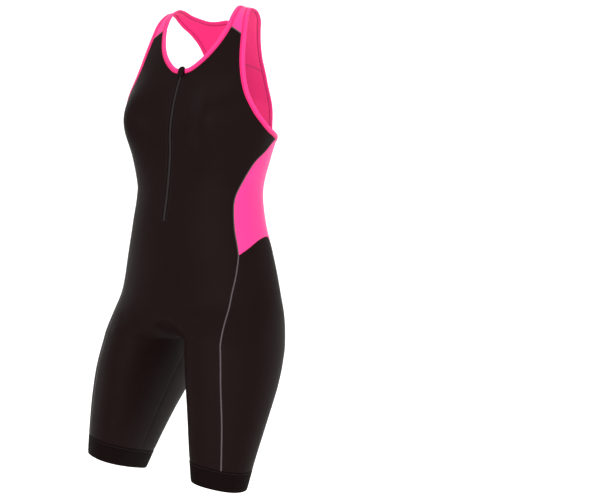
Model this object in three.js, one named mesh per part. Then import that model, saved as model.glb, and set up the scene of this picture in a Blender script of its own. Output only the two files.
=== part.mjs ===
// Sleeveless racer-back triathlon suit, worn hollow: cloth panels, bindings, hem bands and front zip.
// Millimetres, +Z up, front faces -Y, wearer's left is +X, origin midway between the strap crests.
import * as THREE from 'three';

// Driving sizes
const WALL = 1.5;            // knit panel, doubled thickness as pressed at the seams
const SEAM_GAP = 0.3;        // open space between two sewn pieces
const BINDING_WIDTH = 8.5;   // folded edge tape, seen from outside
const BINDING_RISE = 0.5;    // how far the fold stands above and below the panel
const CROTCH_Z = -590;       // lowest point of the body, where the legs part
const FORK_RISE = 90;        // height over which the body divides into legs
const SPREAD_RISE = 190;     // height over which the seam spacing changes from body to legs
const GROOVE_WIDTH = 52;     // width of the hollow between the thighs
const ROUNDNESS = 0.46;      // 0.5 is an ellipse, less is squarer
const LEG_TURN = 0.10;       // outer thigh turned forward, mm per mm
const LEAN_SPREAD = 0.35;    // right hem leans more than the left one, as worn
const LEG_SWAY = 10;         // left leg stands this much nearer the middle at its hem
const HEM_TILT = 0.20;       // left hem falls outwards and the right one rises, mm per mm
const LOW_DROP = 240;        // below the crotch, where sway and tilt are full
const LEG_MIDDLE = 110;      // a hem's middle, from the centre
const THIGH_SPREAD = 0.22;   // how fast the inner thighs part, mm per mm
const THIGH_ROUND = 18;      // how round the fork between them starts
const THIGH_PULL = 80;       // drop over which their pull on the front and back spreads
const SHOULDER_SLOPE = 0.25; // strap falls towards the arm, mm per mm
const STRAP_MIDDLE = 66;     // about a strap's middle, from the centre
const SLOPE_FADE = 70;       // drop over which the straps' slope fades
const BUST = { rise: 54, z: -200, out: 92, tall: 62, wide: 44 };
const ZIP = { slit: 3.2, chainHalf: 2.5, tapeWidth: 9.5, tapeWall: 1, tapeDeep: 2.05, endRow: 9.9 };
const GARAGE_HALF = 7;
const HEM_ROW = 17.35;       // where the leg panels end and the hem band starts
const LAST_ROW = 18;         // lower edge of the hem band
const COLUMNS = 7;           // grid columns of a front or back panel
const SIDE_COLUMNS = 8;

// Body sections from the strap crest down to the hems. front, back and mid are y.
const SECTIONS = [
  { z: 0, half: 128, front: 0, back: 0, mid: 0, lean: 0 },
  { z: -4, half: 131, front: -18, back: 20, mid: 0, lean: 0 },
  { z: -20, half: 137, front: -38, back: 40, mid: -4, lean: 0 },
  { z: -48, half: 142, front: -56, back: 63, mid: -8, lean: 0 },
  { z: -84, half: 147, front: -76, back: 82, mid: -10, lean: 0 },
  { z: -124, half: 152, front: -93, back: 100, mid: -14, lean: 0 },
  { z: -168, half: 154, front: -113, back: 107, mid: -22, lean: 0 },
  { z: -216, half: 143, front: -126, back: 87, mid: -31, lean: 0 },
  { z: -267, half: 129, front: -129, back: 68, mid: -35, lean: 0 },
  { z: -322, half: 117, front: -138, back: 53, mid: -36, lean: 0 },
  { z: -377, half: 123, front: -150, back: 49, mid: -36, lean: 0 },
  { z: -432, half: 135, front: -155, back: 59, mid: -34, lean: 0 },
  { z: -487, half: 146, front: -158, back: 71, mid: -35, lean: 0.02 },
  { z: -542, half: 157, front: -167, back: 79, mid: -44, lean: 0.06 },
  { z: -597, half: 166, front: -179, back: 65, mid: -59, lean: 0.14 },
  { z: -652, half: 172, front: -190, back: 27, mid: -80, lean: 0.20 },
  { z: -707, half: 173, front: -194, back: -21, mid: -106, lean: 0.24 },
  { z: -762, half: 169, front: -199, back: -59, mid: -128, lean: 0.26 },
  { z: -812, half: 164, front: -204, back: -85, mid: -144, lean: 0.26 },
  { z: -862, half: 158, front: -209, back: -111, mid: -161, lean: 0.26 },
];

// Seam lines on one half of the body. around: 0 centre front, 0.5 side, 1 centre back.
// row counts the sections; a row below 0 is over the crest on the front of the strap.
const NECK_FRONT = [
  { around: 0.0162, row: 4.96 }, { around: 0.035, row: 4.90 }, { around: 0.06, row: 4.72 },
  { around: 0.0925, row: 4.38 }, { around: 0.124, row: 3.92 }, { around: 0.153, row: 3.30 },
  { around: 0.172, row: 2.70 },
];
const NECK_STRAP = [
  { around: 0.828, row: -2.70 }, { around: 0.816, row: -1.50 }, { around: 0.811, row: 0 },
  { around: 0.819, row: 0.90 }, { around: 0.84, row: 1.56 }, { around: 0.878, row: 2.03 },
  { around: 0.919, row: 2.35 }, { around: 0.962, row: 2.48 }, { around: 1, row: 2.51 },
];
const ARMHOLE_FRONT = [
  { around: 0.229, row: 3.05 }, { around: 0.238, row: 4.05 }, { around: 0.248, row: 4.67 },
  { around: 0.27, row: 5.30 }, { around: 0.304, row: 5.90 }, { around: 0.362, row: 6.47 },
  { around: 0.435, row: 6.88 }, { around: 0.49, row: 7.09 }, { around: 0.54, row: 7.23 },
  { around: 0.585, row: 7.32 },
];
const ARMHOLE_STRAP = [
  { around: 0.771, row: -3.05 }, { around: 0.776, row: -2.10 }, { around: 0.781, row: -1.00 },
  { around: 0.783, row: 0 }, { around: 0.785, row: 1.00 }, { around: 0.804, row: 1.90 },
  { around: 0.833, row: 2.50 }, { around: 0.861, row: 3.20 }, { around: 0.879, row: 4.00 },
  { around: 0.883, row: 4.62 },
];
const ARMHOLE_BACK = [
  { around: 0.883, row: 4.62 }, { around: 0.881, row: 5.35 }, { around: 0.864, row: 6.05 },
  { around: 0.828, row: 6.70 }, { around: 0.796, row: 7.12 }, { around: 0.765, row: 7.40 },
];
const ARMHOLE_SIDE = [
  { around: 0.585, row: 7.32 }, { around: 0.63, row: 7.40 }, { around: 0.68, row: 7.45 },
  { around: 0.73, row: 7.45 }, { around: 0.765, row: 7.40 },
];
const FRONT_SEAM_TOP = [
  { around: 0.585, row: 7.32 }, { around: 0.55, row: 7.45 }, { around: 0.5, row: 7.78 },
];
const FRONT_SEAM_WAIST = [
  { around: 0.5, row: 7.78 }, { around: 0.44, row: 8.10 }, { around: 0.384, row: 8.75 },
  { around: 0.349, row: 9.25 }, { around: 0.34, row: 9.80 }, { around: 0.338, row: 10.30 },
];
const FRONT_SEAM_HIP = [{ around: 0.338, row: 10.30 }, { around: 0.342, row: 10.95 }];
const FRONT_SEAM_LEG = [
  { around: 0.342, row: 10.95 }, { around: 0.33, row: 11.60 }, { around: 0.321, row: 12.20 },
  { around: 0.323, row: 13.00 }, { around: 0.325, row: 13.60 }, { around: 0.327, row: 14.30 },
  { around: 0.33, row: 15.10 }, { around: 0.337, row: 16.05 }, { around: 0.352, row: HEM_ROW },
];
const BACK_SEAM_TOP = [{ around: 0.765, row: 7.40 }, { around: 0.785, row: 8.28 }];
const BACK_SEAM_WAIST = [
  { around: 0.785, row: 8.28 }, { around: 0.786, row: 9.50 }, { around: 0.79, row: 10.70 },
];
const BACK_SEAM_HIP = [{ around: 0.79, row: 10.70 }, { around: 0.748, row: 11.53 }];
const BACK_SEAM_LEG = [
  { around: 0.748, row: 11.53 }, { around: 0.664, row: 12.55 }, { around: 0.617, row: 13.40 },
  { around: 0.592, row: 14.20 }, { around: 0.583, row: 15.40 }, { around: 0.58, row: 16.40 },
  { around: 0.574, row: HEM_ROW },
];
const PINK_HEM = [
  { around: 0.342, row: 10.95 }, { around: 0.404, row: 10.73 }, { around: 0.475, row: 10.52 },
  { around: 0.54, row: 10.46 }, { around: 0.6, row: 10.56 }, { around: 0.675, row: 10.97 },
  { around: 0.748, row: 11.53 },
];
const YOKE_SEAM = [
  { around: 0.883, row: 4.62 }, { around: 0.92, row: 4.42 }, { around: 0.96, row: 4.32 },
  { around: 1, row: 4.30 },
];
const ARCH_SEAM = [
  { around: 0.785, row: 8.28 }, { around: 0.84, row: 7.90 }, { around: 0.9, row: 7.50 },
  { around: 0.94, row: 7.33 }, { around: 1, row: 7.28 },
];
const WAIST_SEAM = [
  { around: 0.79, row: 10.70 }, { around: 0.85, row: 10.58 }, { around: 0.93, row: 10.47 },
  { around: 1, row: 10.45 },
];

// One smooth value of the section table at a row; above the crest front and back change places.
function sectionValue(row, key) {
  const last = SECTIONS.length - 1;
  const i = Math.min(Math.max(Math.floor(row), 0), last - 1);
  const t = row - i;
  const over = { z: 'z', half: 'half', front: 'back', back: 'front', mid: 'mid', lean: 'lean' }[key];
  const b = SECTIONS[i][key];
  const c = SECTIONS[i + 1][key];
  const a = i > 0 ? SECTIONS[i - 1][key] : SECTIONS[1][over];
  const d = i + 2 <= last ? SECTIONS[i + 2][key] : 2 * c - b;
  return 0.5 * (2 * b + (c - a) * t + (2 * a - 5 * b + 4 * c - d) * t * t
    + (3 * b - a - 3 * c + d) * t * t * t);
}

const clamp = (value) => Math.min(Math.max(value, 0), 1);
const eased = (value) => clamp(value) ** 2 * (3 - 2 * clamp(value));

// Half the space between the thighs, this far below the crotch
const innerThigh = (drop) => Math.sqrt((THIGH_SPREAD * drop) ** 2 + THIGH_ROUND * drop);

// Height of a section over its middle plane, 0 at its edges: an ellipse with the thigh hollow cut in
function sectionHeight(x, half, groove) {
  return (1 - (x / half) ** 2) * Math.max(1 - groove * Math.exp(-((x / GROOVE_WIDTH) ** 2)), 0);
}

// Point of the outer face. side is 1 for the wearer's left half, -1 for the right one.
function bodyPoint(around, row, side) {
  if (row < 0) return bodyPoint(1 - around, -row, side);
  const z = sectionValue(row, 'z');
  const half = sectionValue(row, 'half');
  const mid = sectionValue(row, 'mid');
  const rise = Math.abs(z - CROTCH_Z) < 1e-6 ? 0 : z - CROTCH_Z;
  const inner = innerThigh(Math.max(-rise, 0));
  const groove = rise >= 0 ? clamp(1 - rise / FORK_RISE) ** 2 : Math.exp((inner / GROOVE_WIDTH) ** 2);
  const leg = eased(1 - rise / FORK_RISE);
  const spread = eased(1 - rise / SPREAD_RISE);
  const sweep = Math.sin(Math.PI * clamp(around));
  const share = sweep * (1 - spread + spread * sweep);
  const pull = 1 + 2 * Math.exp(Math.min(rise, 0) / THIGH_PULL);
  const x = half * share + inner * (1 - share) ** pull;
  let crown = 0;
  for (let k = 0; k <= 24; k += 1) {
    crown = Math.max(crown, sectionHeight(inner + ((half - inner) * k) / 24, half, groove));
  }
  const height = Math.max(sectionHeight(x, half, groove) / crown, 0) ** ROUNDNESS;
  let y = mid + (sectionValue(row, around < 0.5 ? 'front' : 'back') - mid) * height;
  if (around < 0.5) {
    const lobes = Math.exp(-(((x - BUST.out) / BUST.wide) ** 2))
      + Math.exp(-(((x + BUST.out) / BUST.wide) ** 2));
    y -= BUST.rise * Math.exp(-(((z - BUST.z) / BUST.tall) ** 2)) * lobes * (1 - (x / half) ** 2);
  }
  y -= LEG_TURN * leg * (x - (half + inner) / 2) * (x / (x + 30));
  const lean = sectionValue(row, 'lean') * (1 - LEAN_SPREAD * side * clamp(-rise / THIGH_PULL));
  const slope = SHOULDER_SLOPE * (x - STRAP_MIDDLE) * Math.exp(Math.min(z, 0) / SLOPE_FADE);
  const low = eased(-rise / LOW_DROP);
  const sway = side > 0 ? LEG_SWAY * low : 0;
  const tilt = HEM_TILT * side * low * (x - LEG_MIDDLE);
  return new THREE.Vector3(side * x - sway, y, z - lean * (y - mid) - slope - tilt);
}

// Even steps along a smooth line through the knots of a seam table
function along(knots, steps) {
  const spots = knots.map((k) => new THREE.Vector3(k.around * 8, k.row, 0));
  const line = new THREE.CatmullRomCurve3(spots, false, 'centripetal');
  return line.getSpacedPoints(steps).map((p) => ({ around: p.x / 8, row: p.y }));
}
const straight = (around, from, to, steps) => Array.from({ length: steps + 1 }, (_, i) => ({
  around, row: from + ((to - from) * i) / steps,
}));
const joined = (...lines) => lines.flatMap((line, i) => (i ? line.slice(1) : line));
const crowded = (around, from, to, steps, towardsEnd) => straight(around, 0, 1, steps).map((k) => ({
  around, row: from + (to - from) * (towardsEnd ? 1 - (1 - k.row) ** 1.6 : k.row ** 1.6),
}));
function rowAt(z) {
  let [low, high] = [0, SECTIONS.length - 1];
  while (high - low > 1e-9) {
    const middle = (low + high) / 2;
    if (sectionValue(middle, 'z') > z) low = middle;
    else high = middle;
  }
  return low;
}
const CROTCH_ROW = rowAt(CROTCH_Z);
const slitEdge = (knot) => ({
  around: Math.asin(ZIP.slit / sectionValue(knot.row, 'half')) / Math.PI, row: knot.row,
});

// Shared seam lines, each sampled once so that neighbours meet at the same points
const neckFront = along(NECK_FRONT, 7);
const neckStrap = along(NECK_STRAP, 11);
const armholeFront = along(ARMHOLE_FRONT, 14);
const armholeStrap = along(ARMHOLE_STRAP, 13);
const armholeBack = along(ARMHOLE_BACK, 9);
const armholeSide = along(ARMHOLE_SIDE, SIDE_COLUMNS);
const frontSeam = joined(along(FRONT_SEAM_TOP, 2), along(FRONT_SEAM_WAIST, 7), along(FRONT_SEAM_HIP, 2));
const frontSeamLeg = along(FRONT_SEAM_LEG, 16);
const backSeamTop = along(BACK_SEAM_TOP, 2);
const backSeamWaist = along(BACK_SEAM_WAIST, 7);
const backSeamHip = along(BACK_SEAM_HIP, 2);
const backSeamLeg = along(BACK_SEAM_LEG, 16);
const pinkHem = along(PINK_HEM, SIDE_COLUMNS);
const yokeSeam = along(YOKE_SEAM, COLUMNS);
const archSeam = along(ARCH_SEAM, COLUMNS);
const waistSeam = along(WAIST_SEAM, COLUMNS);
const zipEdge = joined(straight(0, neckFront[0].row, 7.1, 6), straight(0, 7.1, 7.75, 2),
  straight(0, 7.75, ZIP.endRow - 0.08, 5)).map(slitEdge);
const centreFront = joined([slitEdge(neckFront[0])], [{}, ...zipEdge.slice(1)],
  [{}, { around: 0, row: ZIP.endRow }, { around: 0, row: 10.3 }],
  straight(0, 10.3, 10.95, 2), crowded(0, 10.95, CROTCH_ROW, 9, true),
  crowded(0, CROTCH_ROW, HEM_ROW, 7, false));

// Points of a piece between four seam lines (Coons patch in around and row)
function patch({ left, right, top, bottom, columns }) {
  const rows = left.length - 1;
  const mix = (a, b, t) => a + (b - a) * t;
  return left.map((l, i) => {
    const t = i / rows;
    const r = right[i];
    return Array.from({ length: columns + 1 }, (_, j) => {
      if (i === 0 && top) return top[j];
      if (i === rows && bottom) return bottom[j];
      if (j === 0) return l;
      if (j === columns) return r;
      const s = j / columns;
      const bend = (key) => {
        const upper = top ? top[j][key] - mix(top[0][key], top[columns][key], s) : 0;
        const lower = bottom ? bottom[j][key] - mix(bottom[0][key], bottom[columns][key], s) : 0;
        return mix(l[key], r[key], s) + (1 - t) ** 4 * upper + t ** 4 * lower;
      };
      return { around: bend('around'), row: bend('row') };
    });
  });
}

const frontLeft = [slitEdge(neckFront[0]), ...neckFront].reverse();
const PATCHES = {
  front: patch({
    left: joined(frontLeft, centreFront),
    right: joined(armholeFront, frontSeam, frontSeamLeg),
    columns: COLUMNS,
  }),
  side_upper: patch({
    left: frontSeam,
    right: joined(backSeamTop, backSeamWaist, backSeamHip),
    top: armholeSide,
    bottom: pinkHem,
    columns: SIDE_COLUMNS,
  }),
  side_lower: patch({
    left: frontSeamLeg, right: backSeamLeg, top: pinkHem, columns: SIDE_COLUMNS,
  }),
  back_yoke: patch({
    left: armholeStrap,
    right: joined(neckStrap, straight(1, 2.51, 4.3, 2)),
    bottom: yokeSeam,
    columns: COLUMNS,
  }),
  back_middle: patch({
    left: joined(armholeBack, backSeamTop),
    right: joined(straight(1, 4.3, 6.98, 9), straight(1, 6.98, 7.28, 2)),
    top: yokeSeam,
    bottom: archSeam,
    columns: COLUMNS,
  }),
  back_lower: patch({
    left: backSeamWaist,
    right: straight(1, 7.28, 10.45, 7),
    top: archSeam,
    bottom: waistSeam,
    columns: COLUMNS,
  }),
  seat: patch({
    left: joined(backSeamHip, backSeamLeg),
    right: joined(crowded(1, 10.45, CROTCH_ROW, 11, true), crowded(1, CROTCH_ROW, HEM_ROW, 7, false)),
    top: waistSeam,
    columns: COLUMNS,
  }),
};
PATCHES.hem_band = [0, 0.5, 1].map((t) => joined(
  PATCHES.front.at(-1), PATCHES.side_lower.at(-1), PATCHES.seat.at(-1),
).map((knot) => ({ around: knot.around, row: HEM_ROW + (LAST_ROW - HEM_ROW) * t })));

const keyOf = (p) => [p.x, p.y, p.z].map((v) => Math.round(v * 1e4)).join();

// Every piece as a grid of points, both halves of the body; a grid is joined where its points agree
const grids = {};
for (const [name, rows] of Object.entries(PATCHES)) {
  grids[name] = [1, -1].map((side) => ({
    side,
    points: rows.map((line) => line.map((k) => bodyPoint(k.around, k.row, side))),
  }));
}

// Outward triangles of a grid, as pairs of rows and columns
function gridTriangles({ side, points }) {
  const found = [];
  for (let i = 0; i + 1 < points.length; i += 1) {
    for (let j = 0; j + 1 < points[i].length; j += 1) {
      const quad = [points[i][j], points[i + 1][j], points[i + 1][j + 1], points[i][j + 1]];
      if (side < 0) quad.reverse();
      const cut = quad[0].distanceTo(quad[2]) < quad[1].distanceTo(quad[3])
        ? [[0, 1, 2], [0, 2, 3]] : [[3, 0, 1], [3, 1, 2]];
      for (const corner of cut) {
        const triangle = corner.map((c) => quad[c]);
        if (new Set(triangle.map(keyOf)).size === 3) found.push(triangle);
      }
    }
  }
  return found;
}

// Outward direction at each point, shared by all the pieces that meet there
const outward = new Map();
for (const pair of Object.values(grids)) {
  for (const triangle of pair.flatMap(gridTriangles)) {
    const [a, b, c] = triangle;
    const face = b.clone().sub(a).cross(c.clone().sub(a));
    for (const p of triangle) {
      if (!outward.has(keyOf(p))) outward.set(keyOf(p), new THREE.Vector3());
      outward.get(keyOf(p)).add(face);
    }
  }
}
for (const direction of outward.values()) direction.normalize();
const outwardAt = (p) => outward.get(keyOf(p));

function solid(name, vertices, faces, finish) {
  const geometry = new THREE.BufferGeometry();
  geometry.setAttribute('position', new THREE.Float32BufferAttribute(
    vertices.flatMap((v) => [v.x, v.y, v.z]), 3));
  geometry.setIndex(faces.flat());
  geometry.computeVertexNormals();
  const mesh = new THREE.Mesh(geometry, new THREE.MeshStandardMaterial(finish));
  mesh.name = name;
  return mesh;
}

// Cloth piece: the grids' face moved back from its seams, given a wall inwards and closed round its edge
function cloth(name, gridList, wall, finish) {
  const numbers = new Map();
  const face = [];
  const triangles = gridList.flatMap(gridTriangles).map((triangle) => triangle.map((p) => {
    if (!numbers.has(keyOf(p))) {
      numbers.set(keyOf(p), face.length);
      face.push(p);
    }
    return numbers.get(keyOf(p));
  }));
  const directed = new Set(triangles.flatMap(([a, b, c]) => [`${a},${b}`, `${b},${c}`, `${c},${a}`]));
  const rim = [...directed].map((e) => e.split(',').map(Number))
    .filter(([a, b]) => !directed.has(`${b},${a}`));
  const pulls = new Map();
  for (const [a, b] of rim) {
    for (const end of [a, b]) {
      const pull = outwardAt(face[end]).clone().cross(face[b].clone().sub(face[a])).normalize();
      pulls.set(end, [...(pulls.get(end) ?? []), pull]);
    }
  }
  const outer = face.map((p, i) => {
    const pull = pulls.get(i);
    if (!pull) return p.clone();
    const sum = pull.reduce((total, one) => total.add(one), new THREE.Vector3());
    const share = Math.max(sum.lengthSq() / pull.length, 0.5);
    return p.clone().addScaledVector(sum, SEAM_GAP / 2 / share);
  });
  const inner = outer.map((p, i) => p.clone().addScaledVector(outwardAt(face[i]), -wall));
  const count = outer.length;
  const faces = [
    ...triangles,
    ...triangles.map(([a, b, c]) => [a + count, c + count, b + count]),
    ...rim.flatMap(([a, b]) => (keyOf(face[a]) < keyOf(face[b])
      ? [[b, a, b + count], [a, a + count, b + count]]
      : [[b, a, a + count], [b, a + count, b + count]])),
  ];
  return solid(name, [...outer, ...inner], faces, finish);
}

// Triangles that fill a flat outline, in the order of its points
function capTriangles(outline) {
  const turn = new THREE.Vector3();
  outline.forEach((p, i) => turn.add(p.clone().cross(outline[(i + 1) % outline.length])));
  const first = outline[1].clone().sub(outline[0]).normalize();
  const second = turn.normalize().clone().cross(first);
  const flat = outline.map((p) => new THREE.Vector2(p.dot(first), p.dot(second)));
  return THREE.ShapeUtils.triangulateShape(flat, []);
}

// Strip with the same cross-section at every station; closed strips join their last one to the first
function strip(name, stations, closed, finish) {
  const size = stations[0].length;
  const faces = [];
  const spans = closed ? stations.length : stations.length - 1;
  for (let i = 0; i < spans; i += 1) {
    const next = (i + 1) % stations.length;
    for (let j = 0; j < size; j += 1) {
      const k = (j + 1) % size;
      faces.push([i * size + j, next * size + j, next * size + k]);
      faces.push([i * size + j, next * size + k, i * size + k]);
    }
  }
  if (!closed) {
    const last = (stations.length - 1) * size;
    for (const [a, b, c] of capTriangles(stations[0])) {
      faces.push([a, b, c], [last + a, last + c, last + b]);
    }
  }
  const mesh = solid(name, stations.flat(), faces, finish);
  const box = mesh.geometry.getAttribute('position');
  let volume = 0;
  for (const [a, b, c] of faces) {
    const [p, q, r] = [a, b, c].map((n) => new THREE.Vector3().fromBufferAttribute(box, n));
    volume += p.dot(q.cross(r));
  }
  if (volume < 0) {
    mesh.geometry.setIndex(faces.flatMap(([a, b, c]) => [a, c, b]));
    mesh.geometry.computeVertexNormals();
  }
  return mesh;
}

// Binding: the folded tape seen from its cut end, beside the panel edge that the line follows
const BINDING_SECTION = [
  { across: SEAM_GAP / 2, up: BINDING_RISE },
  { across: BINDING_WIDTH - 1.3, up: BINDING_RISE },
  { across: BINDING_WIDTH, up: -0.3 },
  { across: BINDING_WIDTH, up: -WALL + 0.3 },
  { across: BINDING_WIDTH - 1.3, up: -WALL - BINDING_RISE },
  { across: SEAM_GAP / 2, up: -WALL - BINDING_RISE },
];
function binding(name, line, closed, away, finish) {
  const last = line.length - 1;
  const stations = line.map((p, i) => {
    const before = line[i > 0 ? i - 1 : closed ? last : 0];
    const after = line[i < last ? i + 1 : closed ? 0 : last];
    const up = outwardAt(p);
    const across = after.clone().sub(before).cross(up).normalize().multiplyScalar(away);
    return BINDING_SECTION.map((s) => p.clone().addScaledVector(across, s.across)
      .addScaledVector(up, s.up));
  });
  return strip(name, stations, closed, finish);
}

// Finishes: stretch knit in two colours, hem elastic, woven tape, nylon coil and lacquered metal
const BLACK_KNIT = { color: 0x1c1715, roughness: 0.75, metalness: 0 };
const PINK_KNIT = { color: 0xf5317f, roughness: 0.6, metalness: 0 };
const ELASTIC = { color: 0x171211, roughness: 0.8, metalness: 0 };
const TAPE = { color: 0x120e0e, roughness: 0.8, metalness: 0 };
const COIL = { color: 0x1f1a19, roughness: 0.5, metalness: 0 };
const LACQUER = { color: 0x1a1a1c, roughness: 0.4, metalness: 0.3 };
const part = new THREE.Group();
part.name = 'triathlon_suit';
const add = (mesh) => part.add(mesh);

// Panels cut in one across the body
add(cloth('front', grids.front, WALL, BLACK_KNIT));
add(cloth('back_yoke', grids.back_yoke, WALL, PINK_KNIT));
add(cloth('back_middle', grids.back_middle, WALL, PINK_KNIT));
add(cloth('back_lower', grids.back_lower, WALL, PINK_KNIT));
add(cloth('seat', grids.seat, WALL, BLACK_KNIT));

// Panels and hem bands cut in pairs
for (const [index, hand] of ['left', 'right'].entries()) {
  add(cloth(`side_upper_${hand}`, [grids.side_upper[index]], WALL, PINK_KNIT));
  add(cloth(`side_lower_${hand}`, [grids.side_lower[index]], WALL, BLACK_KNIT));
  add(cloth(`hem_band_${hand}`, [grids.hem_band[index]], WALL + 0.5, ELASTIC));
}

// Bindings: one round each armhole, one from the zip round the neck and back to the zip
const pointsOf = (line, side) => line.map((k) => bodyPoint(k.around, k.row, side));
for (const [side, hand] of [[1, 'left'], [-1, 'right']]) {
  const loop = pointsOf(joined(armholeFront, armholeSide, [...armholeBack].reverse(),
    [...armholeStrap].reverse()), side).slice(0, -1);
  add(binding(`armhole_binding_${hand}`, loop, true, -side, PINK_KNIT));
}
const halfNeck = joined(neckFront, [{}, ...neckStrap.slice(1)]);
add(binding('neck_binding', [
  ...pointsOf(halfNeck, 1), ...pointsOf(halfNeck, -1).reverse().slice(1),
], false, -1, PINK_KNIT));

// Zip: two tapes behind the panel edges, closed chain in the slit, slider at the top in its garage
const firstRow = frontLeft.length - 1;
const lastRow = grids.front[0].points.findIndex((line, i) => i > firstRow && line[0].x < 0.01) - 1;
for (const [index, hand] of ['left', 'right'].entries()) {
  const stations = grids.front[index].points.slice(firstRow, lastRow + 1).map((line) => {
    const [edge, next] = line;
    const length = edge.distanceTo(next);
    const at = (across, deep) => {
      const up = outwardAt(edge).clone().lerp(outwardAt(next), across / length).normalize();
      return edge.clone().lerp(next, across / length).addScaledVector(up, -deep);
    };
    const back = ZIP.tapeDeep + ZIP.tapeWall;
    return [at(0, ZIP.tapeDeep), at(ZIP.tapeWidth, ZIP.tapeDeep), at(ZIP.tapeWidth, back),
      at(0, back)];
  });
  add(strip(`zip_tape_${hand}`, stations, false, TAPE));
}
const spine = grids.front[0].points.slice(firstRow, lastRow + 1).map((line) => ({
  at: line[0].clone().setX(0), up: outwardAt(line[0]).clone().setX(0).normalize(),
}));
const down = spine[1].at.clone().sub(spine[0].at).normalize();
const onZip = (x, below, up) => spine[0].at.clone().addScaledVector(down, below)
  .addScaledVector(spine[0].up, up).setX(x);
const CHAIN_SECTION = [
  { x: -1.6, up: 0.6 }, { x: 1.6, up: 0.6 }, { x: ZIP.chainHalf, up: 0.1 },
  { x: ZIP.chainHalf, up: -1.6 }, { x: -ZIP.chainHalf, up: -1.6 }, { x: -ZIP.chainHalf, up: 0.1 },
];
add(strip('zip_chain', [
  CHAIN_SECTION.map((s) => onZip(s.x, 6.5, s.up)),
  ...spine.slice(1).map(({ at, up }) => CHAIN_SECTION.map(
    (s) => at.clone().addScaledVector(up, s.up).setX(s.x))),
], false, COIL));
const SLIDER = [
  { below: -6, half: 1.8, up: 1.2 }, { below: -4.5, half: 2.8, up: 1.8 },
  { below: 4.5, half: 2.6, up: 1.8 }, { below: 6, half: 2.0, up: 1.2 },
];
add(strip('zip_slider', SLIDER.map((s) => [
  onZip(-s.half, s.below, s.up), onZip(s.half, s.below, s.up),
  onZip(s.half, s.below, -s.up), onZip(-s.half, s.below, -s.up),
]), false, LACQUER));
const GARAGE_SECTION = [
  { below: 1, up: 3.1 }, { below: -11, up: 3.1 }, { below: -12, up: 2.1 }, { below: -12, up: -3.3 },
  { below: -11, up: -4.3 }, { below: 5, up: -4.3 }, { below: 5, up: -3.3 }, { below: -11, up: -3.3 },
  { below: -11, up: 2.1 }, { below: 1, up: 2.1 },
];
add(strip('zip_garage', [-GARAGE_HALF, GARAGE_HALF].map((x) => GARAGE_SECTION.map(
  (s) => onZip(x, s.below, s.up))), false, BLACK_KNIT));

export default part;
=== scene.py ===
import math
import bpy
import numpy as np
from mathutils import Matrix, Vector


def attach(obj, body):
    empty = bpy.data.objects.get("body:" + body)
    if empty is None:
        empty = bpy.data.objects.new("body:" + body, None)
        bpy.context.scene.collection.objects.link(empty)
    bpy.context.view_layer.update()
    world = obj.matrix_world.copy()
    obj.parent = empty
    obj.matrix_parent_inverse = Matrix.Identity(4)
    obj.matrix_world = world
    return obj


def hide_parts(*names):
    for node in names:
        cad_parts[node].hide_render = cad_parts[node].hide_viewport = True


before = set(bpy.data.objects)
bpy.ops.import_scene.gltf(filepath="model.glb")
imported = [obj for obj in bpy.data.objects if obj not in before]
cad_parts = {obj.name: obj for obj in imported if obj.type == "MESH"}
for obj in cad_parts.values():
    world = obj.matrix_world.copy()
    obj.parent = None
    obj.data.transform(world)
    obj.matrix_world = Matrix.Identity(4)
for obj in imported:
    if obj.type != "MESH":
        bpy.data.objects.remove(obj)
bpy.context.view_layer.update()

# Camera: a 60 mm lens about 1.8 m from the suit, a third of the way round from its front towards the
# wearer's left and a little above the chest. It aims to the right of the suit, which stands in the
# left half of the picture.
CAMERA_TARGET = Vector((0, -0.054, -0.427))
CAMERA_AZIMUTH = math.radians(35)
CAMERA_ELEVATION = math.radians(6)
CAMERA_DISTANCE = 1.8
CAMERA_LENS = 60
AIM_RIGHT = 0.187
AIM_DOWN = 0.007

towards_camera = Vector((
    math.sin(CAMERA_AZIMUTH) * math.cos(CAMERA_ELEVATION),
    -math.cos(CAMERA_AZIMUTH) * math.cos(CAMERA_ELEVATION),
    math.sin(CAMERA_ELEVATION),
))
camera_right = Vector((math.cos(CAMERA_AZIMUTH), math.sin(CAMERA_AZIMUTH), 0))
camera = bpy.data.objects.new("camera", bpy.data.cameras.new("camera"))
camera.data.lens = CAMERA_LENS
camera.data.sensor_width = 36
camera.data.clip_end = 50
camera.location = CAMERA_TARGET + CAMERA_DISTANCE * towards_camera
aim = CAMERA_TARGET + AIM_RIGHT * camera_right - Vector((0, 0, AIM_DOWN))
camera.rotation_euler = (aim - camera.location).to_track_quat("-Z", "Y").to_euler()
bpy.context.scene.collection.objects.link(camera)
bpy.context.scene.camera = camera

# Front body: one piece of black warp-knit nylon with elastane, cut across the centre with both strap
# fronts and both leg fronts, slit for the zip. It is worn stretched, so its form is that of the wearer,
# given here by cross-sections from the strap crest to the hems.
MM = 0.001
PANEL_WALL = 1.1 * MM
CROTCH_Z = -590 * MM
FORK_RISE = 90 * MM
SPREAD_RISE = 190 * MM
GROOVE_WIDTH = 52 * MM
ROUNDNESS = 0.46
LEG_TURN = 0.10
LEAN_SPREAD = 0.35
LEG_SWAY = 10 * MM
HEM_TILT = 0.20
LOW_DROP = 240 * MM
LEG_MIDDLE = 110 * MM
THIGH_SPREAD = 0.22
THIGH_ROUND = 18 * MM
THIGH_PULL = 80 * MM
SHOULDER_SLOPE = 0.25
STRAP_MIDDLE = 66 * MM
SLOPE_FADE = 70 * MM
BUST = {"rise": 54 * MM, "z": -200 * MM, "out": 92 * MM, "tall": 62 * MM, "wide": 44 * MM}

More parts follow.
